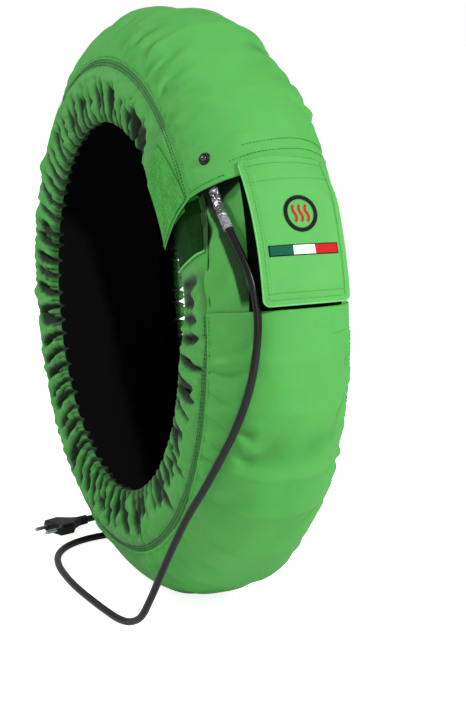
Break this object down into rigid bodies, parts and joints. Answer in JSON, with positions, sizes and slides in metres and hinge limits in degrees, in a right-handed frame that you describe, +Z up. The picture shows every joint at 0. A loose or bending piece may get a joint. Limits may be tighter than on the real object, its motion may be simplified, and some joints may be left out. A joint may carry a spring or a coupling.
{
  "type": "motorcycle tire warmer",
  "caption": "Padded green heated band closed into a ring, with gathered side skirts, a closure tab and a power cord.",
  "frame": {"origin": "middle of the ring's footprint on the floor", "axes": "+Z up, the ring's axis along Y, the opening in view towards -Y, the closure at the upper +X side"},
  "size_m": [0.648, 0.2504, 0.64],
  "materials": {
    "green_nylon": "coated nylon with a fine weave and a soft sheen",
    "tab_nylon": "smooth coated nylon",
    "hook_tape": "matt hook and loop tape",
    "black_lining": "matt aramid cloth",
    "felt": "needled felt",
    "glass_cloth": "woven glass cloth",
    "silicone": "silicone insulation",
    "elastic": "flat woven elastic",
    "black_plastic": "moulded, fine grain",
    "lens": "smoked moulded lens",
    "crimp": "crimped bright foil and ferrule",
    "clear_tube": "clear shrink tube",
    "cord_rubber": "smooth rubber jacket with a soft gloss",
    "pin_nickel": "nickel plated"
  },
  "bodies": {
    "root": {"outer_cover": "green_nylon", "under_panel": "green_nylon", "insulation_pad": "felt", "thermostat": "black_plastic", "heater_carrier": "glass_cloth", "inner_lining": "black_lining", "heating_wire": "silicone", "near_side_skirt": "green_nylon", "near_hem_elastic": "elastic", "near_skirt_hook_tape": "hook_tape", "near_skirt_loop_tape": "hook_tape", "far_side_skirt": "green_nylon", "far_hem_elastic": "elastic", "far_skirt_hook_tape": "hook_tape", "far_skirt_loop_tape": "hook_tape", "closure_tab": "tab_nylon", "panel_loop_tape": "hook_tape", "tab_hook_tape": "hook_tape", "lamp_holder": "black_plastic", "lamp_lens": "lens", "lamp_nut": "black_plastic", "cable_ferrule": "crimp", "cable_sleeve": "clear_tube", "power_cord_drop": "cord_rubber", "live_lead": "silicone", "neutral_lead": "silicone", "power_cord_coil": "cord_rubber", "coil_tie": "hook_tape", "power_cord_tail": "cord_rubber", "plug_body": "black_plastic", "plug_pin_left": "pin_nickel", "plug_pin_right": "pin_nickel"}
  },
  "joints": []
}
